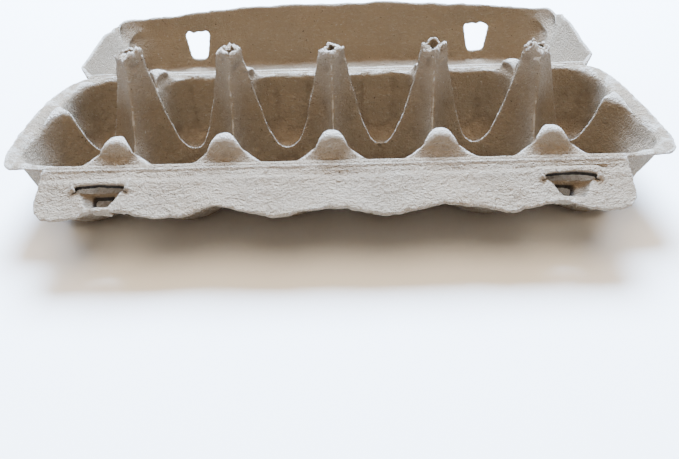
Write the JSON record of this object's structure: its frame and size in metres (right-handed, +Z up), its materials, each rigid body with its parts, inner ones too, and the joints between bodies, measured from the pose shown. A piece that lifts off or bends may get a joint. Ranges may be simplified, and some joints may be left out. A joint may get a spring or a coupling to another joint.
{
  "type": "egg carton",
  "caption": "Moulded pulp egg carton, open: tray of round cups between tall pillars, hinged lid with latch slots, and hinged lock flap with latch buttons.",
  "frame": {"origin": "centre of the open carton's footprint, on the surface it stands on", "axes": "+X along the carton's length, +Y from the lock flap in front to the lid behind, +Z up"},
  "size_m": [0.302, 0.2298, 0.0726],
  "materials": {
    "pulp": "rough grey-brown moulded paper pulp, matt"
  },
  "bodies": {
    "tray": {"tray": "pulp"},
    "lid": {"lid": "pulp", "lid_crease": "pulp"},
    "flap": {"lock_flap": "pulp", "flap_crease": "pulp"}
  },
  "joints": [
    {"name": "lid_hinge", "type": "hinge", "parent": "tray", "child": "lid", "pos_m": [0, 0.00708, 0.039], "axis": [1, 0, 0], "range_deg": [0, 180], "stiffness_Nm_per_rad": 0.02},
    {"name": "flap_hinge", "type": "hinge", "parent": "tray", "child": "flap", "pos_m": [0, -0.09092, 0.039], "axis": [-1, 0, 0], "range_deg": [-15, 124], "stiffness_Nm_per_rad": 0.02}
  ]
}
